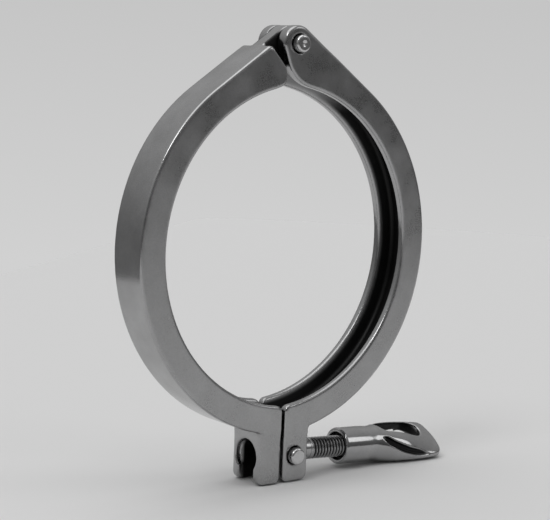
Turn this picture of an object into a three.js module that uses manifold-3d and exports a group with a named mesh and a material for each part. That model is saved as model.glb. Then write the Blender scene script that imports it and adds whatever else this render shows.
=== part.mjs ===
// Single-pin hinged clamp for sanitary ferrules, in millimetres, +Z up.
// Y is the pipe axis. The hinge is at the top, the two bolt lugs are at the bottom, and the plane
// x = 0 is the parting plane between the half rings. Heights are first measured from the ring
// centre; at the end the group is moved so that the clamp stands on z = 0.
import * as THREE from 'three';
import { mergeVertices } from 'three/addons/utils/BufferGeometryUtils.js';
import Module from 'manifold-3d';

const wasm = await Module();
wasm.setup();

// ---------------------------------------------------------------- driving dimensions
const GAP = 0.3; // clearance between touching pieces

const LIP_RADIUS = 56; // inside of the ring lips
const OUTER_RADIUS = 66;
const RING_WIDTH = 16.4; // along the pipe axis
const CENTRE_SHIFT = 4.29; // each half's own centre lies past the parting plane by this much
const EDGE_ROUND = 0.9; // rounding of the cast edges

const GROOVE_MOUTH = 11; // width of the V groove at the lips
const GROOVE_ROOT_RADIUS = 61.3;
const GROOVE_WALL_ANGLE = 20; // degrees from the pipe's cross-section

const HINGE_HEIGHT = 70; // hinge pin above the ring centre
const KNUCKLE_RADIUS = 6.2;
const TONGUE_WIDTH = 6.2;
const KNUCKLE_CLEARANCE = 0.7; // round the tongue's knuckle between the ears
const OUTLINE_TANGENT = 55.5; // degrees, where the outer outline leaves the ring towards the knuckle
const LIP_END = 9; // the lips end this far either side of the parting plane at the hinge
// Outline corners at the hinge, as x, z and corner radius, in order from the outside to the lip.
const FORK_HINGE_END = [
  [-11.7, 69.3, 1.8],
  [-4.8, 61.6, 2.5],
  [-4.6, 55.9, 3],
];
const CLEVIS_HINGE_END = [[-1.6, 56.9, 13]];
// Where the tongue is rooted in the fork half, and the corner under its knuckle.
const TONGUE_ROOT = [
  [-20, 58],
  [-22, 61.9],
];
const TONGUE_CORNER = [-5, 60];
const TONGUE_OPENING = { left: -12, right: 0.6, bottom: 50 }; // room for the tongue below the pin

const PIN_RADIUS = 3;
const PIN_STAND_OUT = 2.6; // pin end past the casting face
const PIN_END_ROUND = 0.9;
const DIMPLE = { radius: 0.7, depth: 0.5 }; // centre mark in both ends of the hinge pin

const BASE_HEIGHT = -83.4; // underside of both lugs
const FORK_LUG = { parting: -0.8, outside: -10.3, root: -10.5 };
const CLEVIS_LUG = { parting: 0.4, outside: 11.3, root: 11.6 };
const LUG_CORNER = 2;

const BOLT_PIN = { x: 5.2, z: -73.9 };
const BOLT_RADIUS = 3.95;
const BOLT_LENGTH = 43; // pin centre to bolt end
const BOLT_EYE_RADIUS = 5.3;
const BOLT_EYE_WIDTH = 7.8;
const BOLT_TILT = 3.3; // degrees below level, the nut resting on the table
const THREAD_START = 12.4; // from the pin centre
const THREAD_PITCH = 1.411;
const THREAD_DEPTH = 0.78;
const BOLT_CHAMFER = 1.2; // least length of the cone at the bolt end

const CLEVIS_SLOT = { width: 8.3, top: -67 };
const FORK_SLOT = { width: 8.4, centre: -72.4 };
const NUT_SEAT = { radius: 5.9, depth: 2.2 };

const NUT_DISTANCE = 25.9; // pin centre to nut mouth
const NUT_RADIUS = 6.7;
const NUT_BARREL = 16;
const NUT_BARREL_CONE = 3; // the barrel narrows by and over this length inside the handle
const NUT_BORE_PAST_LOOP = 2; // the bore runs into the loop hole by this much
const NUT_ROLL = 29; // degrees, the handle turned about the bolt
const NUT_MOUTH = { radius: 5.1, depth: 2.2, round: 1 };
// The loop hole narrows towards the barrel and lies to one side of the bolt's centre line.
const NUT_HOLE = { from: 19.5, to: 41.9, halfWidth: 4.7, nearRadius: 3.8, offset: 3.3 };
// Handle sections, oval: distance from the mouth, half width, half thickness.
const HANDLE_SECTIONS = [
  [10, 5.5, 5.5],
  [15, 6.6, 6.5],
  [20, 8.1, 6.3],
  [26, 9.0, 5.5],
  [31, 9.6, 4.7],
  [36, 10.0, 3.9],
  [41, 10.1, 3.1],
  [45, 9.4, 2.4],
  [47, 8.2, 2.0],
  [48.4, 5.8, 1.3],
];

const RING_STEPS = 56;
const ROUND_STEPS = 24;

// ---------------------------------------------------------------- finishes
const castSteel = new THREE.MeshStandardMaterial({ color: 0x85878a, roughness: 0.32, metalness: 1 });
const polishedSteel = new THREE.MeshStandardMaterial({ color: 0x9a9c9f, roughness: 0.2, metalness: 1 });
const threadSteel = new THREE.MeshStandardMaterial({ color: 0x6f7174, roughness: 0.3, metalness: 1 });

// ---------------------------------------------------------------- helpers
const radians = THREE.MathUtils.degToRad;

/** Closed solid from a three.js geometry whose shared vertices may still be split. */
function solid(geometry) {
  geometry.deleteAttribute('normal');
  geometry.deleteAttribute('uv');
  const merged = mergeVertices(geometry, 1e-5);
  const vertProperties = new Float32Array(merged.attributes.position.array);
  const triVerts = new Uint32Array(merged.index.array);
  return new wasm.Manifold(new wasm.Mesh({ numProp: 3, vertProperties, triVerts }));
}

/** Named three.js mesh from a solid. */
function piece(name, shape, material) {
  const { vertProperties, triVerts } = shape.getMesh();
  const geometry = new THREE.BufferGeometry();
  geometry.setAttribute('position', new THREE.BufferAttribute(vertProperties, 3));
  geometry.setIndex(new THREE.BufferAttribute(triVerts, 1));
  geometry.computeVertexNormals();
  const mesh = new THREE.Mesh(geometry, material);
  mesh.name = name;
  return mesh;
}

/** Points along an arc, angles in degrees, ends included. */
function arc(x, z, radius, from, to, steps) {
  return Array.from({ length: steps + 1 }, (_, i) => {
    const angle = radians(from + ((to - from) * i) / steps);
    return [x + radius * Math.cos(angle), z + radius * Math.sin(angle)];
  });
}

/** Arc of the given radius that rounds the corner between three outline points. */
function cornerArc([px, pz], [x, z, radius], [nx, nz]) {
  const before = new THREE.Vector2(px - x, pz - z).normalize();
  const after = new THREE.Vector2(nx - x, nz - z).normalize();
  const halfAngle = Math.acos(before.dot(after)) / 2;
  const middle = before.clone().add(after).normalize();
  const centre = middle.multiplyScalar(radius / Math.sin(halfAngle)).add(new THREE.Vector2(x, z));
  const reach = radius / Math.tan(halfAngle);
  const start = before.multiplyScalar(reach).add(new THREE.Vector2(x, z)).sub(centre);
  const end = after.multiplyScalar(reach).add(new THREE.Vector2(x, z)).sub(centre);
  const turn = THREE.MathUtils.euclideanModulo(end.angle() - start.angle() + Math.PI, 2 * Math.PI) - Math.PI;
  const steps = Math.max(3, Math.ceil(Math.abs(turn) / radians(22)));
  const from = THREE.MathUtils.radToDeg(start.angle());
  return arc(centre.x, centre.y, radius, from, from + THREE.MathUtils.radToDeg(turn), steps);
}

/** Outline in which every corner given as [x, z, radius] is rounded by that radius. */
function outline(corners) {
  const count = corners.length;
  return corners.flatMap((corner, i) => {
    if (corner.length === 2) return [corner];
    return cornerArc(corners[(i + count - 1) % count], corner, corners[(i + 1) % count]);
  });
}

/** Outline in x and z made into a plate between two y values, its face edges rounded. */
function plate(points, fromY, toY, round) {
  const shape = new THREE.Shape(points.map(([x, z]) => new THREE.Vector2(x, z)));
  const geometry = new THREE.ExtrudeGeometry(shape, {
    depth: toY - fromY - 2 * round,
    bevelEnabled: round > 0,
    bevelThickness: round,
    bevelSize: round,
    bevelOffset: -round,
    bevelSegments: 2,
  });
  geometry.rotateX(Math.PI / 2);
  geometry.translate(0, toY - round, 0);
  return solid(geometry);
}

/** Block between two opposite corners. */
function block([x0, y0, z0], [x1, y1, z1]) {
  const geometry = new THREE.BoxGeometry(x1 - x0, y1 - y0, z1 - z0);
  geometry.translate((x0 + x1) / 2, (y0 + y1) / 2, (z0 + z1) / 2);
  return solid(geometry);
}

/** Round bar along Y, centred on the middle plane. */
function barAlongY(x, z, radius, width) {
  const geometry = new THREE.CylinderGeometry(radius, radius, width, ROUND_STEPS);
  geometry.translate(x, 0, z);
  return solid(geometry);
}

/** Body turned about the Y axis from [radius, y] points that start and end on the axis. */
function turnedAboutY(profile, x, z) {
  const points = profile.map(([radius, y]) => new THREE.Vector2(radius, y));
  const geometry = new THREE.LatheGeometry(points, ROUND_STEPS);
  geometry.translate(x, 0, z);
  return solid(geometry);
}

/** Body turned about the X axis from [radius, x] points that start and end on the axis. */
function turnedAboutX(profile) {
  const points = profile.map(([radius, x]) => new THREE.Vector2(radius, x));
  const geometry = new THREE.LatheGeometry(points, ROUND_STEPS);
  geometry.rotateZ(-Math.PI / 2);
  return solid(geometry);
}

/** Point on a circle about a half ring's own centre where x has the given value. */
function onRing(centreX, radius, x, side) {
  return [x, side * Math.sqrt(radius ** 2 - (x - centreX) ** 2)];
}

/** Angle in degrees of a point seen from a centre on the x axis. */
function angleFrom(centreX, [x, z]) {
  return THREE.MathUtils.radToDeg(Math.atan2(z, x - centreX));
}

// ---------------------------------------------------------------- half rings
/** V groove inside one half ring, as the solid that is cut away. */
function groove(centreX) {
  const slope = Math.tan(radians(GROOVE_WALL_ANGLE));
  const inside = LIP_RADIUS - 3;
  const mouth = GROOVE_MOUTH / 2 + 3 * slope;
  const root = GROOVE_MOUTH / 2 - (GROOVE_ROOT_RADIUS - LIP_RADIUS) * slope;
  const corners = [
    [inside, -mouth],
    [GROOVE_ROOT_RADIUS, -root],
    [GROOVE_ROOT_RADIUS, root],
    [inside, mouth],
    [inside, -mouth],
  ];
  const points = corners.map(([radius, y]) => new THREE.Vector2(radius, y));
  const geometry = new THREE.LatheGeometry(points, 2 * RING_STEPS);
  geometry.translate(centreX, 0, 0);
  return solid(geometry);
}

/** Front outline of the fork half: lug, outside, hinge end and lip, without the tongue. */
function forkOutline() {
  const centre = CENTRE_SHIFT;
  const shoulder = onRing(centre, OUTER_RADIUS, FORK_LUG.root, -1);
  const partingLip = onRing(centre, LIP_RADIUS, FORK_LUG.parting, -1);
  const endLip = onRing(centre, LIP_RADIUS, -LIP_END, 1);
  const outerStart = 360 + angleFrom(centre, shoulder);
  const innerEnd = 360 + angleFrom(centre, partingLip);
  return outline([
    [FORK_LUG.parting, BASE_HEIGHT, LUG_CORNER],
    [FORK_LUG.outside, BASE_HEIGHT, LUG_CORNER],
    ...arc(centre, 0, OUTER_RADIUS, outerStart, 180 - OUTLINE_TANGENT, RING_STEPS),
    ...FORK_HINGE_END,
    ...arc(centre, 0, LIP_RADIUS, angleFrom(centre, endLip), innerEnd, RING_STEPS),
  ]);
}

/** Hinge tongue from inside the body to the knuckle about the pin. */
function tongueOutline() {
  const top = 180 - OUTLINE_TANGENT;
  return [
    ...TONGUE_ROOT,
    ...arc(0, HINGE_HEIGHT, KNUCKLE_RADIUS, top, -90, 12),
    TONGUE_CORNER,
  ];
}

/** Slot for the bolt in the fork lug, round at the top, with the round nut seat outside it. */
function forkSlot() {
  const width = FORK_SLOT.width;
  const straight = block(
    [FORK_LUG.outside - 5, -width / 2, BASE_HEIGHT - 5],
    [FORK_LUG.parting + 5, width / 2, FORK_SLOT.centre],
  );
  const top = new THREE.CylinderGeometry(width / 2, width / 2, 24, ROUND_STEPS);
  top.rotateZ(Math.PI / 2);
  top.translate((FORK_LUG.outside + FORK_LUG.parting) / 2, 0, FORK_SLOT.centre);
  const seat = new THREE.CylinderGeometry(NUT_SEAT.radius, NUT_SEAT.radius, 10, ROUND_STEPS);
  seat.rotateZ(Math.PI / 2);
  seat.translate(FORK_LUG.outside + NUT_SEAT.depth - 5, 0, BOLT_PIN.z);
  return straight.add(solid(top)).add(solid(seat));
}

function makeForkHalf() {
  const halfWidth = RING_WIDTH / 2;
  const body = plate(forkOutline(), -halfWidth, halfWidth, EDGE_ROUND);
  const tongue = plate(tongueOutline(), -TONGUE_WIDTH / 2, TONGUE_WIDTH / 2, 0);
  const pinHole = barAlongY(0, HINGE_HEIGHT, PIN_RADIUS + GAP, RING_WIDTH);
  return body.add(tongue).subtract(groove(CENTRE_SHIFT)).subtract(pinHole).subtract(forkSlot());
}

/** Front outline of the hinge half: lug, outside, ear about the pin and lip. */
function clevisOutline() {
  const centre = -CENTRE_SHIFT;
  const shoulder = onRing(centre, OUTER_RADIUS, CLEVIS_LUG.root, -1);
  const partingLip = onRing(centre, LIP_RADIUS, CLEVIS_LUG.parting, -1);
  const earLip = onRing(centre, LIP_RADIUS, LIP_END, 1);
  return outline([
    [CLEVIS_LUG.parting, BASE_HEIGHT, LUG_CORNER],
    [CLEVIS_LUG.outside, BASE_HEIGHT, LUG_CORNER],
    ...arc(centre, 0, OUTER_RADIUS, angleFrom(centre, shoulder), OUTLINE_TANGENT, RING_STEPS),
    ...arc(0, HINGE_HEIGHT, KNUCKLE_RADIUS, OUTLINE_TANGENT, 190, 10),
    ...CLEVIS_HINGE_END,
    ...arc(centre, 0, LIP_RADIUS, angleFrom(centre, earLip), angleFrom(centre, partingLip), RING_STEPS),
  ]);
}

/** Room for the fork half's tongue between the two hinge ears. */
function tongueSlot() {
  const width = TONGUE_WIDTH + 2 * GAP;
  const { left, right, bottom } = TONGUE_OPENING;
  const round = barAlongY(0, HINGE_HEIGHT, KNUCKLE_RADIUS + KNUCKLE_CLEARANCE, width);
  const open = block([left, -width / 2, bottom], [right, width / 2, HINGE_HEIGHT]);
  return round.add(open);
}

/** Room for the bolt eye in the clevis lug, open at the bottom and on both sides. */
function clevisSlot() {
  const width = CLEVIS_SLOT.width;
  return block([CLEVIS_LUG.parting - 5, -width / 2, BASE_HEIGHT - 5], [20, width / 2, CLEVIS_SLOT.top]);
}

function makeHingeHalf() {
  const halfWidth = RING_WIDTH / 2;
  const body = plate(clevisOutline(), -halfWidth, halfWidth, EDGE_ROUND);
  const hingeHole = barAlongY(0, HINGE_HEIGHT, PIN_RADIUS + GAP, RING_WIDTH + 2);
  const boltHole = barAlongY(BOLT_PIN.x, BOLT_PIN.z, PIN_RADIUS + GAP, RING_WIDTH + 2);
  return body
    .subtract(groove(-CENTRE_SHIFT))
    .subtract(tongueSlot())
    .subtract(clevisSlot())
    .subtract(hingeHole)
    .subtract(boltHole);
}

// ---------------------------------------------------------------- pins
/** Rivet pin with rounded ends, with or without a centre dimple in each. */
function makePin(x, z, dimpled) {
  const half = RING_WIDTH / 2 + PIN_STAND_OUT;
  const end = arc(PIN_RADIUS - PIN_END_ROUND, half - PIN_END_ROUND, PIN_END_ROUND, 0, 90, 3);
  const centre = dimpled ? [[DIMPLE.radius, half], [0, half - DIMPLE.depth]] : [[0, half]];
  const upper = [...end, ...centre];
  const lower = upper.map(([radius, y]) => [radius, -y]).reverse();
  return turnedAboutY([...lower, ...upper], x, z);
}

// ---------------------------------------------------------------- swing bolt
/** Threaded bar along X from inside the eye to the bolt end, its thread as V rings. */
function boltBar() {
  const root = BOLT_RADIUS - THREAD_DEPTH;
  const turns = Math.floor((BOLT_LENGTH - BOLT_CHAMFER - THREAD_START) / THREAD_PITCH);
  const thread = Array.from({ length: turns }, (_, i) => THREAD_START + i * THREAD_PITCH).flatMap((x) => [
    [BOLT_RADIUS, x],
    [root, x + 0.45 * THREAD_PITCH],
    [root, x + 0.55 * THREAD_PITCH],
  ]);
  const threadEnd = THREAD_START + turns * THREAD_PITCH;
  return turnedAboutX([
    [0, 0],
    [BOLT_RADIUS, 0],
    ...thread,
    [BOLT_RADIUS, threadEnd],
    [root, BOLT_LENGTH],
    [0, BOLT_LENGTH],
  ]);
}

function makeSwingBolt() {
  const eye = barAlongY(0, 0, BOLT_EYE_RADIUS, BOLT_EYE_WIDTH);
  const hole = barAlongY(0, 0, PIN_RADIUS + GAP, 2 * BOLT_EYE_WIDTH);
  return boltBar().add(eye).subtract(hole);
}

// ---------------------------------------------------------------- nut with a loop handle
/** Handle solid: a turned body whose rings are stretched into the oval handle sections. */
function handleBody() {
  const rings = HANDLE_SECTIONS.map(([x]) => new THREE.Vector2(1, x));
  const [first] = rings;
  const last = rings[rings.length - 1];
  const profile = [new THREE.Vector2(0, first.y), ...rings, new THREE.Vector2(0, last.y)];
  const geometry = new THREE.LatheGeometry(profile, ROUND_STEPS);
  geometry.rotateZ(-Math.PI / 2);
  const position = geometry.attributes.position;
  for (let i = 0; i < position.count; i += 1) {
    const section = THREE.MathUtils.clamp((i % profile.length) - 1, 0, rings.length - 1);
    const [, halfWidth, halfThickness] = HANDLE_SECTIONS[section];
    position.setY(i, position.getY(i) * halfWidth);
    position.setZ(i, position.getZ(i) * halfThickness);
  }
  return solid(geometry);
}

/** Oval loop hole through the handle, as the solid that is cut away. */
function loopHole() {
  const { from, to, halfWidth, nearRadius, offset } = NUT_HOLE;
  const nearEnd = arc(from + nearRadius, 0, nearRadius, 90, 270, 8);
  const farEnd = arc(to - halfWidth, 0, halfWidth, -90, 90, 8);
  return plate([...nearEnd, ...farEnd], -10, 10, 0).rotate([90, 0, 0]).translate([0, offset, 0]);
}

function nutBarrel() {
  const { radius, depth, round } = NUT_MOUTH;
  const outside = turnedAboutX([
    [0, 0],
    ...arc(NUT_RADIUS - round, round, round, 270, 360, 4),
    [NUT_RADIUS, NUT_BARREL],
    [NUT_RADIUS - NUT_BARREL_CONE, NUT_BARREL + NUT_BARREL_CONE],
    [0, NUT_BARREL + NUT_BARREL_CONE],
  ]);
  const inside = turnedAboutX([
    [0, -1],
    [radius, -1],
    [radius, depth],
    [BOLT_RADIUS + GAP, depth + 1],
    [BOLT_RADIUS + GAP, NUT_HOLE.from + NUT_BORE_PAST_LOOP],
    [0, NUT_HOLE.from + NUT_BORE_PAST_LOOP],
  ]);
  return { outside, inside };
}

function makeHandleNut() {
  const { outside, inside } = nutBarrel();
  return outside.add(handleBody()).subtract(loopHole()).subtract(inside);
}

// ---------------------------------------------------------------- assembly
const handleNut = piece('handle_nut', makeHandleNut(), polishedSteel);
handleNut.position.x = NUT_DISTANCE;
handleNut.rotation.x = radians(NUT_ROLL);

const boltGroup = new THREE.Group();
boltGroup.add(piece('swing_bolt', makeSwingBolt(), threadSteel), handleNut);
boltGroup.position.set(BOLT_PIN.x, 0, BOLT_PIN.z);
boltGroup.rotation.y = radians(BOLT_TILT);

const clamp = new THREE.Group();
clamp.add(
  piece('fork_half', makeForkHalf(), castSteel),
  piece('hinge_half', makeHingeHalf(), castSteel),
  piece('hinge_pin', makePin(0, HINGE_HEIGHT, true), polishedSteel),
  piece('bolt_pin', makePin(BOLT_PIN.x, BOLT_PIN.z, false), polishedSteel),
  boltGroup,
);

// The clamp stands on z = 0 with its origin under the middle of its bounding box.
clamp.updateMatrixWorld(true);
const bounds = new THREE.Box3().setFromObject(clamp, true);
const middle = bounds.getCenter(new THREE.Vector3());
clamp.position.set(-middle.x, -middle.y, -bounds.min.z);

export default clamp;
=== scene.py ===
"""Hinged ferrule clamp in stainless steel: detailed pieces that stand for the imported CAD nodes.

Shapes are written in millimetres about the ring's centre and moved into the row frame at the end.
"""
import math

import bmesh
import bpy
import numpy as np
from mathutils import Matrix, Vector


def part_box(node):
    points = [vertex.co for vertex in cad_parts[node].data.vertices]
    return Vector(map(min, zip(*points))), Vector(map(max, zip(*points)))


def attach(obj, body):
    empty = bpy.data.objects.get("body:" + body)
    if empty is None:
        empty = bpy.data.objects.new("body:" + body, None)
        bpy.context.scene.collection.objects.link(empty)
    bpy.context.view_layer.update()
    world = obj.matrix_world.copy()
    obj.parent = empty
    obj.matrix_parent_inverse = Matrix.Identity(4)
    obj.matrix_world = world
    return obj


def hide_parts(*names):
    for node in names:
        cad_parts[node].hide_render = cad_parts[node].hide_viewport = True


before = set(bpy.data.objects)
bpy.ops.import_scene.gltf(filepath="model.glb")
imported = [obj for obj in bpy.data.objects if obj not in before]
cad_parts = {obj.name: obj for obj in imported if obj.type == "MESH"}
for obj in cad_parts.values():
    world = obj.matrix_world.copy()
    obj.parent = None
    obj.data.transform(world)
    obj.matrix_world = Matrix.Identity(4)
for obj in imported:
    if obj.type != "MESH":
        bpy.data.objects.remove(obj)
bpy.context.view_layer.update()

MM = 0.001
HINGE_HEIGHT = 70.0
_lo, _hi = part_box("hinge_pin")
RING_CENTRE = (_lo + _hi) / 2 - Vector((0, 0, HINGE_HEIGHT * MM))
VOXEL = 0.5

# ---------------------------------------------------------------- dimensions, mm
LIP, OUTER, HALF_WIDTH, SHIFT = 56.0, 66.0, 8.2, 4.29
GROOVE_MOUTH, GROOVE_ROOT, GROOVE_SLOPE = 5.5, 61.3, math.tan(math.radians(20))
BASE = -83.4
KNUCKLE = 6.2
TANGENT = 55.5
PIN, HOLE = 3.0, 3.3
BOLT_PIN = (5.2, -73.9)
BOLT_TILT = math.radians(3.3)
BOLT_R, PITCH, THREAD_DEPTH, BOLT_END, THREAD_START = 3.95, 1.411, 0.78, 43.0, 12.4
NUT_AT, NUT_ROLL, NUT_TIP = 25.9, math.radians(29), 48.4
NUT_MOUTH, NUT_MOUTH_DEPTH, NUT_BORE, NUT_BORE_END = 5.1, 2.2, 4.25, 21.5
SLOT_TOP, SLOT_HALF = -72.4, 4.2
SEAT, SEAT_FLOOR = 5.9, -8.1
PIN_STAND_OUT, PIN_ROUND, AROUND_PIN = 2.6, 0.9, 48


# ---------------------------------------------------------------- distance fields
def cut(a, b, r):
    """Where both fields are negative, with the edge between them rounded by r."""
    return np.minimum(-r, np.maximum(a, b)) + np.hypot(np.maximum(a + r, 0), np.maximum(b + r, 0))


def join(a, b, r):
    """Where either field is negative, with a fillet of r between them."""
    return -cut(-a, -b, r)


def ease(x, start, end):
    t = np.clip((x - start) / (end - start), 0, 1)
    return t * t * (3 - 2 * t)


def arc(x, z, r, start, end, steps):
    t = np.radians(np.linspace(start, end, steps + 1))
    return [(x + r * math.cos(a), z + r * math.sin(a)) for a in t]


def rounded(corners):
    """Outline points; a corner given as (x, z, radius) becomes an arc."""
    out, n = [], len(corners)
    for i, c in enumerate(corners):
        if len(c) == 2:
            out.append(c)
            continue
        p = Vector(c[:2])
        a = (Vector(corners[i - 1][:2]) - p).normalized()
        b = (Vector(corners[(i + 1) % n][:2]) - p).normalized()
        half = a.angle(b) / 2
        centre = p + (a + b).normalized() * c[2] / math.sin(half)
        s, e = p + a * c[2] / math.tan(half) - centre, p + b * c[2] / math.tan(half) - centre
        start = math.atan2(s.y, s.x)
        turn = (math.atan2(e.y, e.x) - start + math.pi) % (2 * math.pi) - math.pi
        out += arc(*centre, c[2], math.degrees(start), math.degrees(start + turn), 14)
    return out


class Outline:
    """Signed distance to a closed outline. A coarse grid holds each cell's nearest segment."""

    CELL = 0.5

    def __init__(self, points):
        p = np.array(points, float)
        p = p[np.linalg.norm(p - np.roll(p, 1, 0), axis=1) > 1e-6]
        area = np.sum(p[:, 0] * np.roll(p[:, 1], -1) - np.roll(p[:, 0], -1) * p[:, 1])
        self.a = p if area > 0 else p[::-1].copy()
        self.d = np.roll(self.a, -1, 0) - self.a
        self.low = self.a.min(0) - 3
        self.shape = np.ceil((self.a.max(0) + 3 - self.low) / self.CELL).astype(int) + 1
        gx, gz = (self.low[i] + self.CELL * np.arange(self.shape[i]) for i in (0, 1))
        gx, gz = np.meshgrid(gx, gz, indexing="ij")
        best = np.full(gx.shape, 1e9)
        self.near = np.zeros(gx.shape, int)
        for k in range(len(self.a)):
            dist = self._segment(gx, gz, k)[0]
            closer = dist < best
            best[closer], self.near[closer] = dist[closer], k

    def _segment(self, x, z, k):
        ax, az, dx, dz = self.a[k, ..., 0], self.a[k, ..., 1], self.d[k, ..., 0], self.d[k, ..., 1]
        t = np.clip(((x - ax) * dx + (z - az) * dz) / (dx * dx + dz * dz), 0, 1)
        ex, ez = x - ax - t * dx, z - az - t * dz
        return np.hypot(ex, ez), dx * (z - az) - dz * (x - ax)

    def __call__(self, x, z):
        i = np.clip(np.rint((x - self.low[0]) / self.CELL).astype(int), 0, self.shape[0] - 1)
        j = np.clip(np.rint((z - self.low[1]) / self.CELL).astype(int), 0, self.shape[1] - 1)
        k0 = self.near[i, j]
        best, side = np.full(x.shape, 1e9), np.ones(x.shape)
        for step in range(-3, 4):
            dist, cross = self._segment(x, z, (k0 + step) % len(self.a))
            closer = dist < best
            best, side = np.where(closer, dist, best), np.where(closer, cross, side)
        return np.where(side > 0, -best, best)


def on_ring(centre, radius, x, sign):
    return math.degrees(math.atan2(sign * math.sqrt(radius**2 - (x - centre) ** 2), x - centre))


def groove(x, y, z, centre):
    r = np.hypot(x - centre, z)
    wall = (np.abs(y) - GROOVE_MOUTH + (r - LIP) * GROOVE_SLOPE) * 0.94
    return cut(r - GROOVE_ROOT, wall, 0.9)


def slab(v, low, high):
    return np.maximum(low - v, v - high)


# ---------------------------------------------------------------- half rings
FORK = Outline(
    rounded(
        [(-0.8, BASE, 2.2), (-10.3, BASE, 2.6), (-10.3, -64.3, 1.4)]
        + arc(SHIFT, 0, OUTER, 360 + on_ring(SHIFT, OUTER, -12.0, -1), 180 - TANGENT, 240)
        + [(-11.7, 69.3, 1.8), (-4.8, 61.6, 2.5), (-4.6, 55.9, 3.0)]
        + arc(SHIFT, 0, LIP, on_ring(SHIFT, LIP, -9, 1), 360 + on_ring(SHIFT, LIP, -3.4, -1), 240)
        + [(-0.8, -55.75, 2.4)]
    )
)
TONGUE = Outline(
    [(-20, 58), (-22, 61.9)] + arc(0, HINGE_HEIGHT, KNUCKLE - 0.1, 180 - TANGENT, -90, 60) + [(-5, 60)]
)
CLEVIS = Outline(
    rounded(
        [(0.4, BASE, 2.2), (11.3, BASE, 2.6), (11.3, -64.15, 1.2)]
        + arc(-SHIFT, 0, OUTER, on_ring(-SHIFT, OUTER, 13.0, -1), TANGENT, 240)
        + arc(0, HINGE_HEIGHT, KNUCKLE, TANGENT, 190, 60)
        + [(-1.6, 56.9, 13.0)]
        + arc(-SHIFT, 0, LIP, on_ring(-SHIFT, LIP, 9, 1), on_ring(-SHIFT, LIP, 3.0, -1), 240)
        + [(0.4, -55.75, 2.4)]
    )
)


def lug_rounding(z):
    """The edges of the lugs and the hinge are rounder than the ring's."""
    return 0.85 + 0.45 * ease(-z, 64, 69) + 0.4 * ease(z, 64, 70)


def fork_slot(y, z):
    """The bolt's slot: straight sides below, round at its top."""
    return np.where(z < SLOT_TOP, np.abs(y), np.hypot(y, z - SLOT_TOP)) - SLOT_HALF


def fork_half(x, y, z):
    below = ease(np.hypot(x - SHIFT, z), 65.7, 66.3) * ease(-z, 50, 58)
    half = HALF_WIDTH - 0.45 * below * ease(-x, 4.5, 10.5)
    body = cut(FORK(x, z), np.abs(y) - half, lug_rounding(z))
    body = join(body, cut(TONGUE(x, z), np.abs(y) - 3.1, 0.6), 0.4)
    body = cut(body, -groove(x, y, z, SHIFT), 0.55)
    body = cut(body, HOLE - np.hypot(x, z - HINGE_HEIGHT), 0.3)
    body = cut(body, -fork_slot(y, z), 0.9)
    seat = cut(np.hypot(y, z - BOLT_PIN[1]) - SEAT, x - SEAT_FLOOR, 0.5)
    return cut(body, -seat, 0.45)


def hinge_half(x, y, z):
    body = cut(CLEVIS(x, z), np.abs(y) - HALF_WIDTH, lug_rounding(z))
    body = cut(body, -groove(x, y, z, -SHIFT), 0.55)
    turning = np.hypot(x, z - HINGE_HEIGHT) - KNUCKLE - 0.7
    room = np.minimum(turning, np.maximum(slab(x, -12, 0.6), slab(z, 50, HINGE_HEIGHT)))
    body = cut(body, -np.maximum(room, np.abs(y) - 3.4), 0.5)
    body = cut(body, -np.maximum(z + 67, np.abs(y) - 4.15), 0.6)
    body = cut(body, HOLE - np.hypot(x, z - HINGE_HEIGHT), 0.3)
    return cut(body, HOLE - np.hypot(x - BOLT_PIN[0], z - BOLT_PIN[1]), 0.3)


def groove_shade(x, y, z, centre):
    """0 inside the V groove, 1 elsewhere, and greyer where the groove opens at the hinge."""
    deep = ease(np.hypot(x - centre, z), 56.3, 58.0) * (np.hypot(x - centre, z) < 62.2)
    deep *= 1 - 0.6 * ease(z, 46, 54)
    return 1 - deep * (1 - ease(np.abs(y), 5.0, 5.7))


def fork_unshaded(x, y, z):
    # Painted shade in the groove, along the bolt slot, in the hinge gap beside the tongue and in the pin
    # hole.
    unshaded = groove_shade(x, y, z, SHIFT)
    unshaded *= 1 - (np.abs(fork_slot(y, z)) < 0.7) * (z < -66) * ease(x, -9.2, -7.4) * (x < -1.2)
    unshaded *= 1 - 0.9 * (np.abs(y) < 3.5) * (z > 57.5) * (x > -9) * (1 - ease(z, 66.5, 71.0))
    beside_tongue = (np.abs(y) > 2.4) * (np.abs(y) < 3.5) * (x > -11) * (z > 57.5)
    unshaded *= 1 - 0.95 * beside_tongue * (1 - ease(z, 73, 75.5))
    return unshaded * ease(np.hypot(x, z - HINGE_HEIGHT), 3.2, 3.5)


def hinge_unshaded(x, y, z):
    # Painted shade in the groove, in the room around the tongue at the hinge, in the bolt slot and in both
    # pin holes.
    unshaded = groove_shade(x, y, z, -SHIFT)
    unshaded *= 1 - 0.95 * (np.abs(y) < 3.7) * (np.hypot(x, z - HINGE_HEIGHT) < 8.2) * (1 - ease(z, 72, 76))
    unshaded *= 1 - (np.abs(y) < 4.4) * (z < -66.4) * (x > 1)
    for hx, hz in ((0, HINGE_HEIGHT), BOLT_PIN):
        unshaded *= ease(np.hypot(x - hx, z - hz), 3.2, 3.7)
    return unshaded


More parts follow.
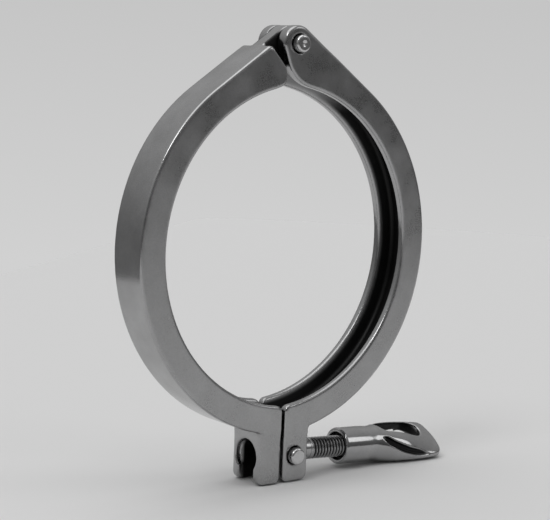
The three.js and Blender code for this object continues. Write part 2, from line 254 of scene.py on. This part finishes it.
# ---------------------------------------------------------------- nut, along its own axis
NUT_SIDE = np.array(  # from the mouth: half width, height and squareness of the side's oval
    [[0, 6.7, 6.7, 2], [12.5, 6.7, 6.7, 2], [15.5, 6.6, 6.6, 2], [19, 7.4, 6.8, 2], [24, 8.6, 6.7, 2],
     [30, 9.5, 6.2, 2.1], [35, 9.95, 4.4, 2.5], [39, 10.1, 3.5, 2.8], [43, 9.9, 3.1, 3.0],
     [46, 9.2, 2.9, 3.1],
     [50, 8.0, 2.7, 3.2]]
)
NUT_FACE = np.array(  # from the mouth: middle height of the flat faces, crown
    [[0, 12, 0], [14, 9.5, 0], [17, 7.0, 0], [21, 6.45, 0], [25, 6.15, 0.002], [30, 5.5, 0.006],
     [35, 4.45, 0.019],
     [38, 4.1, 0.024], [41, 3.5, 0.018], [44, 2.7, 0.008], [47, 2.1, 0.002], [50, 1.8, 0]]
)

NUT_FLUTE = np.array(  # from the mouth: distance off the centre line, height and radius of the flute
    [[0, 2, 6, -3], [17, 3.0, 5.7, -0.8], [19, 4.0, 5.4, 0.9], [24, 6.5, 4.1, 1.3], [30, 8.6, 2.8, 1.25],
     [36, 9.4, 1.9, 0.9], [40, 9.8, 1.4, -0.2], [50, 10, 1, -3]]
)


def along(table, column, u):
    """Smooth value of a table's column at u."""
    k, v = table[:, 0], table[:, column]
    i = np.clip(np.searchsorted(k, u) - 1, 0, len(k) - 2)
    slope = np.gradient(v, k)
    w = k[i + 1] - k[i]
    t = np.clip((u - k[i]) / w, 0, 1)
    return (
        (2 * t**3 - 3 * t**2 + 1) * v[i] + (t**3 - 2 * t**2 + t) * w * slope[i]
        + (3 * t**2 - 2 * t**3) * v[i + 1] + (t**3 - t**2) * w * slope[i + 1]
    )


def loop_hole(u, v):
    """Drop-shaped hole, narrow towards the barrel and off the centre line."""
    u0, r0, u1, r1, offset = 23.3, 3.8, 37.2, 4.7, 3.3
    length = u1 - u0
    b = (r0 - r1) / length
    a = math.sqrt(1 - b * b)
    px, py = np.abs(v - offset), u - u0
    k = -px * b + py * a
    far = np.hypot(px, py - length) - r1
    near = np.hypot(px, py) - r0
    return np.where(k < 0, near, np.where(k > a * length, far, px * a + py * b - r0))


def nut_flute(u, v, n):
    """Hollow below each of the handle's ridges; the handle is alike when turned half a turn."""
    off_centre = np.sign(n) * -v - along(NUT_FLUTE, 1, u)
    return np.hypot(off_centre, np.abs(n) - along(NUT_FLUTE, 2, u)) - along(NUT_FLUTE, 3, u)


def nut(u, v, n):
    wide, tall, power = (along(NUT_SIDE, c, u) for c in (1, 2, 3))
    body = ((np.abs(v / wide) ** power + np.abs(n / tall) ** power) ** (1 / power) - 1) * tall
    face = (np.abs(n) - along(NUT_FACE, 1, u) + along(NUT_FACE, 2, u) * v * v) * 0.93
    body = cut(body, face, 0.4)
    body = cut(body, -nut_flute(u, v, n), 0.45)
    # Worn where it rests on the table, on both sides alike.
    lean = math.cos(NUT_ROLL) * n + math.sin(NUT_ROLL) * v
    height = (BOLT_PIN[1] - BASE) / math.cos(BOLT_TILT) - math.tan(BOLT_TILT) * (NUT_AT + u)
    body = cut(body, np.abs(lean) - height, 1.0)
    body = cut(body, -u, 1.0)
    body = cut(body, u - NUT_TIP + 0.026 * v * v, 1.6)
    body = cut(body, -loop_hole(u, v), 0.8)
    body = cut(body, -np.maximum(np.hypot(v, n) - NUT_MOUTH, u - NUT_MOUTH_DEPTH), 0.6)
    return cut(body, -np.maximum(np.hypot(v, n) - NUT_BORE, u - NUT_BORE_END), 0.3)


def nut_unshaded(u, v, n):
    """Painted shade: dark in the bore and the loop hole a little way below their rims, and in the flutes."""
    depth = along(NUT_FACE, 1, u) - np.abs(n)
    inside = (loop_hole(u, v) > -0.6) & (loop_hole(u, v) < 0.25)
    unshaded = 1 - inside * ease(depth, 0.6, 2.2)
    bore = (np.hypot(v, n) < NUT_MOUTH + 0.2) & (u < NUT_BORE_END)
    unshaded *= 1 - bore * ease(u, -0.2, 0.9)
    in_flute = 1 - ease(nut_flute(u, v, n), 0.0, 0.25)
    return unshaded * (1 - in_flute * ease(u, 18, 20) * (1 - ease(u, 37, 40)))


def eye(u, y, n):
    """Bolt eye and plain shank, along the bolt's axis."""
    ring = cut(np.hypot(u, n) - 5.3, np.abs(y) - 3.9, 0.7)
    shank = np.maximum(np.hypot(y, n) - BOLT_R + 0.12, slab(u, 2, THREAD_START + 0.5))
    body = cut(join(ring, shank, 1.0), np.abs(y) - 3.92, 0.2)
    return cut(body, HOLE - np.hypot(u, n), 0.4)


# ---------------------------------------------------------------- meshes
def skin(field, low, high, step):
    """Surface net of a field, its points then moved onto the field's zero."""
    axes = [np.arange(low[i] - 2 * step, high[i] + 2 * step, step) for i in range(3)]
    value = field(*np.meshgrid(*axes, indexing="ij"))
    inside = value < 0
    nx, ny, nz = (n - 1 for n in value.shape)
    total, count = np.zeros((nx, ny, nz, 3)), np.zeros((nx, ny, nz))
    corner = [(i, j, k) for i in (0, 1) for j in (0, 1) for k in (0, 1)]
    for a in corner:
        for axis in range(3):
            if a[axis]:
                continue
            b = tuple(c + (m == axis) for m, c in enumerate(a))
            sa, sb = (tuple(slice(c, c + n) for c, n in zip(p, (nx, ny, nz))) for p in (a, b))
            cross = inside[sa] != inside[sb]
            va, vb = value[sa][cross], value[sb][cross]
            at = np.tile(np.array(a, float), (len(va), 1))
            at[:, axis] += va / (va - vb)
            total[cross] += at
            count[cross] += 1
    used = count > 0
    index = np.full(used.shape, -1)
    index[used] = np.arange(used.sum())
    cell = np.argwhere(used)
    points = cell + total[used] / count[used][:, None]
    points = np.array([a[0] for a in axes]) + points * step
    faces = []
    for axis in range(3):
        b, c = (axis + 1) % 3, (axis + 2) % 3
        first = [slice(1, -1)] * 3
        second = [slice(1, -1)] * 3
        first[axis], second[axis] = slice(0, -1), slice(1, None)
        one, two = inside[tuple(first)], inside[tuple(second)]
        at = np.argwhere(one != two) + [0 if m == axis else 1 for m in range(3)]
        flip = two[one != two]
        around = []
        for db, dc in ((1, 1), (0, 1), (0, 0), (1, 0)):
            q = at.copy()
            q[:, b] -= db
            q[:, c] -= dc
            around.append(index[tuple(q.T)])
        quad = np.stack(around, 1)
        quad[flip] = quad[flip][:, ::-1]
        faces.append(quad)
    for _ in range(4):
        here = field(*points.T)
        e = 0.02
        steps = np.eye(3) * e
        slope = np.stack([field(*(points + m).T) - field(*(points - m).T) for m in steps], 1)
        slope /= 2 * e
        move = slope * (here / np.maximum((slope**2).sum(1), 0.2))[:, None]
        points = points - np.clip(move, -0.5 * step, 0.5 * step)
    return points, np.concatenate(faces)


def lathe(profile, steps):
    """Points and faces turned about Y from (radius, y) points; the ends are closed."""
    turn = np.linspace(0, 2 * math.pi, steps, endpoint=False)
    pts = np.array([(r * math.sin(t), y, r * math.cos(t)) for r, y in profile for t in turn])
    faces = [
        (i * steps + j, i * steps + (j + 1) % steps, (i + 1) * steps + (j + 1) % steps, (i + 1) * steps + j)
        for i in range(len(profile) - 1)
        for j in range(steps)
    ]
    return pts, faces + [list(range(steps)), list(range(len(pts) - steps, len(pts)))]


def threaded_bar():
    """Thread with a true helix, running out at the shank and into a chamfer at the end."""
    around = 72
    u = np.arange(THREAD_START - 1.0, BOLT_END + 0.01, PITCH / (14))
    t = np.linspace(0, 2 * math.pi, around, endpoint=False)
    uu, tt = np.meshgrid(u, t, indexing="ij")
    wave = np.abs(((uu / PITCH - tt / (2 * math.pi)) % 1) * 2 - 1)
    depth = THREAD_DEPTH * np.clip((wave - 0.1) / 0.78, 0, 1)
    depth *= ease(uu, THREAD_START - 0.6, THREAD_START + 0.8)
    radius = np.minimum(BOLT_R - depth, BOLT_R - 1.0 + (BOLT_END - uu) * 0.9)
    pts = np.stack([uu, radius * np.cos(tt), radius * np.sin(tt)], -1).reshape(-1, 3)
    rows = len(u)
    quads = [
        (i * around + j, (i + 1) * around + j, (i + 1) * around + k, i * around + k)
        for i in range(rows - 1)
        for j, k in zip(range(around), [*range(1, around), 0])
    ]
    caps = [[i for i in range(around)][::-1], [(rows - 1) * around + i for i in range(around)]]
    return pts, quads, caps


def make(name, points, faces, node, body, material, unshaded=None):
    """One piece from points in millimetres about the ring's centre; its last argument, a painted shade
    factor, is 0 deep in a recess, else 1.
    """
    mesh = bpy.data.meshes.new(name)
    places = np.asarray(points) * MM + np.array(RING_CENTRE)
    mesh.from_pydata(places.tolist(), [], [list(map(int, f)) for f in faces])
    shell = bmesh.new()
    shell.from_mesh(mesh)
    bmesh.ops.recalc_face_normals(shell, faces=shell.faces)
    shell.to_mesh(mesh)
    shell.free()
    mesh.update()
    mesh.polygons.foreach_set("use_smooth", [True] * len(mesh.polygons))
    mesh.materials.append(material)
    # Point attribute of painted shade: 0 darkens the base colour deep in recesses, 1 leaves it as it is.
    layer = mesh.attributes.new("unshaded", "FLOAT", "POINT")
    layer.data.foreach_set("value", np.ones(len(points)) if unshaded is None else np.asarray(unshaded, float))
    obj = bpy.data.objects.new(name, mesh)
    bpy.context.scene.collection.objects.link(obj)
    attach(obj, body)
    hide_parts(node)
    return obj


def from_bolt_axis(points):
    """Points along the bolt's axis, placed at the bolt pin and tilted as it lies."""
    p = np.asarray(points, float)
    c, s = math.cos(BOLT_TILT), math.sin(BOLT_TILT)
    x, z = p[:, 0] * c + p[:, 2] * s, -p[:, 0] * s + p[:, 2] * c
    return np.stack([x + BOLT_PIN[0], p[:, 1], z + BOLT_PIN[1]], 1)


def from_nut_axis(points):
    """Points in the nut's frame, rolled about the bolt and slid along it."""
    p = np.asarray(points, float)
    c, s = math.cos(NUT_ROLL), math.sin(NUT_ROLL)
    y, z = p[:, 1] * c - p[:, 2] * s, p[:, 1] * s + p[:, 2] * c
    return from_bolt_axis(np.stack([p[:, 0] + NUT_AT, y, z], 1))


# ---------------------------------------------------------------- steel
def steel(name, base, rough, spread, grain, pits, sides_rough=None):
    """Stainless steel with cloudy roughness, grain and pits; its sides may be smoother than its faces."""
    mat = bpy.data.materials.new(name)
    mat.use_nodes = True
    nt = mat.node_tree
    shader = nt.nodes["Principled BSDF"]
    shader.inputs["Metallic"].default_value = 1.0

    def node(kind, **values):
        n = nt.nodes.new(kind)
        for key, value in values.items():
            if key in n.inputs:
                n.inputs[key].default_value = value
            else:
                setattr(n, key, value)
        return n

    link = nt.links.new
    place = node("ShaderNodeTexCoord")

    def noise(scale, detail, roughness=0.55):
        n = node("ShaderNodeTexNoise", Scale=scale, Detail=detail, Roughness=roughness)
        link(place.outputs["Object"], n.inputs["Vector"])
        return n.outputs["Fac"]

    def span(value, a, b, to_a, to_b):
        n = node("ShaderNodeMapRange")
        link(value, n.inputs["Value"])
        for key, v in zip(("From Min", "From Max", "To Min", "To Max"), (a, b, to_a, to_b)):
            n.inputs[key].default_value = v
        return n.outputs["Result"]

    def math_node(op, a, b):
        n = node("ShaderNodeMath", operation=op)
        for socket, v in zip(n.inputs, (a, b)):
            if isinstance(v, (int, float)):
                socket.default_value = v
            else:
                link(v, socket)
        return n.outputs[0]

    cloud = noise(90, 4)
    fine = noise(2600, 3, 0.7)
    tint = node("ShaderNodeMix", data_type="RGBA")
    link(span(cloud, 0.35, 0.68, 0, 1), tint.inputs["Factor"])
    tint.inputs["A"].default_value = (base * 0.9, base * 0.9, base * 0.905, 1)
    tint.inputs["B"].default_value = (base * 1.08, base * 1.08, base * 1.09, 1)
    # Painted shade: the point attribute darkens the base colour in recesses, down to 0.05, and makes them
    # rougher; the fine noise adds grain to the colour.
    bright = node("ShaderNodeAttribute", attribute_name="unshaded").outputs["Fac"]
    shade_and_grain = node("ShaderNodeMix", data_type="RGBA", blend_type="MULTIPLY")
    shade_and_grain.inputs["Factor"].default_value = 1.0
    link(tint.outputs["Result"], shade_and_grain.inputs["A"])
    link(math_node("MULTIPLY", span(bright, 0, 1, 0.05, 1), span(fine, 0.3, 0.7, 0.9, 1.1)), shade_and_grain.inputs["B"])
    link(shade_and_grain.outputs["Result"], shader.inputs["Base Color"])

    roughness = span(cloud, 0.3, 0.7, rough - spread, rough + spread)
    if sides_rough is not None:
        split = node("ShaderNodeSeparateXYZ")
        link(place.outputs["Normal"], split.inputs[0])
        flat = span(math_node("ABSOLUTE", split.outputs["Y"], 0.0), 0.75, 0.97, 0, 1)
        soft = span(cloud, 0.3, 0.7, sides_rough - 0.02, sides_rough + 0.03)
        blend = node("ShaderNodeMix", data_type="FLOAT")
        link(flat, blend.inputs["Factor"])
        link(soft, blend.inputs["A"])
        link(roughness, blend.inputs["B"])
        roughness = blend.outputs["Result"]
    roughness = math_node("ADD", roughness, span(fine, 0.3, 0.7, -0.02, 0.03))
    roughness = math_node("ADD", roughness, span(bright, 0, 1, 0.2, 0))
    link(roughness, shader.inputs["Roughness"])

    cells = node("ShaderNodeTexVoronoi", Scale=330.0)
    link(place.outputs["Object"], cells.inputs["Vector"])
    spot = span(cells.outputs["Distance"], 0.03, 0.11, 1, 0)
    gate = span(noise(170, 1), 0.60, 0.66, 0, 1)
    pit = math_node("MULTIPLY", spot, gate)
    height = math_node("SUBTRACT", math_node("MULTIPLY", fine, grain), math_node("MULTIPLY", pit, pits))
    bump = node("ShaderNodeBump", Strength=0.35, Distance=0.00006)
    link(height, bump.inputs["Height"])
    link(bump.outputs["Normal"], shader.inputs["Normal"])
    return mat


CAST = steel("cast_stainless", 0.395, 0.30, 0.05, 0.5, 1.4, sides_rough=0.15)
PIN_STEEL = steel("turned_stainless", 0.58, 0.20, 0.05, 0.5, 0.8)
THREAD = steel("rolled_stainless", 0.42, 0.22, 0.05, 0.3, 0.0)
POLISHED = steel("tumbled_stainless", 0.385, 0.13, 0.05, 0.35, 1.2)

# ---------------------------------------------------------------- pieces
for name, node_name, field, shade, low, high in (
    ("clamp_half_fork", "fork_half", fork_half, fork_unshaded, (-62, -8.3, BASE), (6.4, 8.3, 76.4)),
    ("clamp_half_hinge", "hinge_half", hinge_half, hinge_unshaded, (-6.4, -8.3, BASE), (62, 8.3, 76.4)),
):
    pts, quads = skin(field, low, high, VOXEL)
    make(name, pts, quads, node_name, node_name, CAST, shade(*pts.T))


def pin(dimple):
    """Rivet pin whose ends are rounded, with a dimple where it was centred."""
    end, r = HALF_WIDTH + PIN_STAND_OUT, PIN_ROUND
    quarter = np.linspace(0, math.pi / 2, 9)
    crown = [(PIN - r + r * math.cos(a), end - r + r * math.sin(a)) for a in quarter]
    if dimple:
        crown += [(1.3, end), (0.95, end - 0.06), (0.6, end - 0.3), (0.25, end - 0.48), (0.001, end - 0.5)]
    else:
        crown += [(1.4, end - 0.02), (0.7, end - 0.01), (0.001, end)]
    return [(r, -y) for r, y in reversed(crown)] + crown


for name, node_name, (px, pz), dimple in (
    ("hinge_rivet", "hinge_pin", (0, HINGE_HEIGHT), True),
    ("bolt_rivet", "bolt_pin", BOLT_PIN, False),
):
    pts, quads = lathe(pin(dimple), AROUND_PIN)
    make(name, pts + [px, 0, pz], quads, node_name, "hinge_half", PIN_STEEL)

bar, bar_quads, bar_caps = threaded_bar()
eye_pts, eye_faces = skin(eye, (-5.4, -4.1, -5.4), (THREAD_START + 0.6, 4.1, 5.4), 0.35)
bolt_faces = [list(f) for f in eye_faces] + [[i + len(eye_pts) for i in f] for f in bar_quads + bar_caps]
# The last argument paints shade into the thread's roots, from the bar's radius; the eye is left unshaded.
make("eye_bolt", from_bolt_axis(np.concatenate([eye_pts, bar])), bolt_faces,
     "swing_bolt", "swing_bolt", THREAD,
     np.concatenate([np.ones(len(eye_pts)), ease(np.hypot(bar[:, 1], bar[:, 2]), 3.3, 3.92)]))

nut_pts, nut_faces = skin(nut, (0, -10.3, -7), (48.6, 10.3, 7), 0.33)
make("loop_nut", from_nut_axis(nut_pts), nut_faces, "handle_nut", "handle_nut", POLISHED,
     nut_unshaded(*nut_pts.T))


# ---------------------------------------------------------------- floor, light, camera
def principled(name, colour, rough):
    mat = bpy.data.materials.new(name)
    mat.use_nodes = True
    shader = mat.node_tree.nodes["Principled BSDF"]
    shader.inputs["Base Color"].default_value = (*colour, 1)
    shader.inputs["Roughness"].default_value = rough
    return mat


# A round sheet of paper cut straight on its left: past its edge the metal reflects the dark room.
PAPER, PAPER_CUT, CUT_SIDE = 0.85, 0.222, math.radians(128)


def paper_edge(a):
    towards_cut = math.cos(a - CUT_SIDE)
    r = min(PAPER, PAPER_CUT / towards_cut) if towards_cut > 0.01 else PAPER
    return r * math.cos(a), r * math.sin(a) + 0.1, -0.0002


ring = [paper_edge(a) for a in np.linspace(0, 2 * math.pi, 128, False)]
floor_mesh = bpy.data.meshes.new("floor")
floor_mesh.from_pydata(ring, [], [tuple(range(128))])
floor_mesh.materials.append(principled("paper", (0.74, 0.74, 0.74), 0.7))
floor_mesh.materials[0].node_tree.nodes["Principled BSDF"].inputs["Specular IOR Level"].default_value = 0.1
floor = bpy.data.objects.new("floor", floor_mesh)
bpy.context.scene.collection.objects.link(floor)


def soft_sun(name, azimuth, height, strength, width):
    """Even soft light from a direction in degrees, azimuth from +X towards +Y."""
    data = bpy.data.lights.new(name, "SUN")
    data.energy, data.angle = strength, math.radians(width)
    a, e = math.radians(azimuth), math.radians(height)
    lamp = bpy.data.objects.new(name, data)
    bpy.context.scene.collection.objects.link(lamp)
    towards = Vector((math.cos(a) * math.cos(e), math.sin(a) * math.cos(e), math.sin(e)))
    lamp.rotation_euler = towards.to_track_quat("Z", "Y").to_euler()


soft_sun("overhead", 150, 80, 0.85, 64)
soft_sun("left", 195, 48, 0.45, 20)
soft_sun("front", 317, 33, 0.2, 24)

world = bpy.data.worlds.new("studio")
bpy.context.scene.world = world
world.use_nodes = True
wn = world.node_tree
wn.nodes.clear()
out = wn.nodes.new("ShaderNodeOutputWorld")
place = wn.nodes.new("ShaderNodeTexCoord")
split = wn.nodes.new("ShaderNodeSeparateXYZ")
sky = wn.nodes.new("ShaderNodeValToRGB")
front = wn.nodes.new("ShaderNodeMapRange")
room = wn.nodes.new("ShaderNodeBackground")
seen = wn.nodes.new("ShaderNodeBackground")
ray = wn.nodes.new("ShaderNodeLightPath")
mix = wn.nodes.new("ShaderNodeMixShader")
wn.links.new(place.outputs["Generated"], split.inputs[0])
# Dark below the paper's edge, brighter upwards, and half as bright in front (-Y) as behind.
wn.links.new(split.outputs["Z"], sky.inputs["Fac"])
for at, value in ((0.0, 0.21), (0.12, 0.33), (0.45, 0.55), (1.0, 0.75)):
    stop = sky.color_ramp.elements[int(at)] if at in (0.0, 1.0) else sky.color_ramp.elements.new(at)
    stop.position, stop.color = at, (value, value, value, 1)
wn.links.new(split.outputs["Y"], front.inputs["Value"])
for socket, v in (("From Min", -0.9), ("From Max", 0.4), ("To Min", 0.42), ("To Max", 1.0)):
    front.inputs[socket].default_value = v
wn.links.new(sky.outputs["Color"], room.inputs["Color"])
wn.links.new(front.outputs["Result"], room.inputs["Strength"])
# What the camera alone sees past the paper: a backdrop with painted light, lighter low down and darker higher
# up.
fade = wn.nodes.new("ShaderNodeMapRange")
wn.links.new(split.outputs["Z"], fade.inputs["Value"])
for socket, v in (("From Min", -0.13), ("From Max", 0.04), ("To Min", 0.637), ("To Max", 0.56)):
    fade.inputs[socket].default_value = v
wn.links.new(fade.outputs["Result"], seen.inputs["Color"])
wn.links.new(ray.outputs["Is Camera Ray"], mix.inputs[0])
wn.links.new(room.outputs[0], mix.inputs[1])
wn.links.new(seen.outputs[0], mix.inputs[2])
wn.links.new(mix.outputs[0], out.inputs[0])

bpy.context.scene.view_settings.view_transform = "Standard"

CAMERA_FROM_RING = Vector((-0.331455, -0.42375, 0.0622))
AZIMUTH, ELEVATION, ROLL = (math.radians(a) for a in (-37.976, 7.136, 2.326))
FLAT = math.cos(ELEVATION)
away = Vector((math.sin(AZIMUTH) * FLAT, -math.cos(AZIMUTH) * FLAT, math.sin(ELEVATION)))
level = Vector((math.cos(AZIMUTH), math.sin(AZIMUTH), 0))
upward = away.cross(level)
right = math.cos(ROLL) * level + math.sin(ROLL) * upward
top = -math.sin(ROLL) * level + math.cos(ROLL) * upward
camera = bpy.data.objects.new("camera", bpy.data.cameras.new("camera"))
bpy.context.scene.collection.objects.link(camera)
camera.data.lens, camera.data.sensor_width = 101.5, 36
camera.data.clip_start = 0.01
turn = Matrix((right, top, away)).transposed().to_4x4()
camera.matrix_world = Matrix.Translation(RING_CENTRE + CAMERA_FROM_RING) @ turn
bpy.context.scene.camera = camera

bpy.context.view_layer.update()
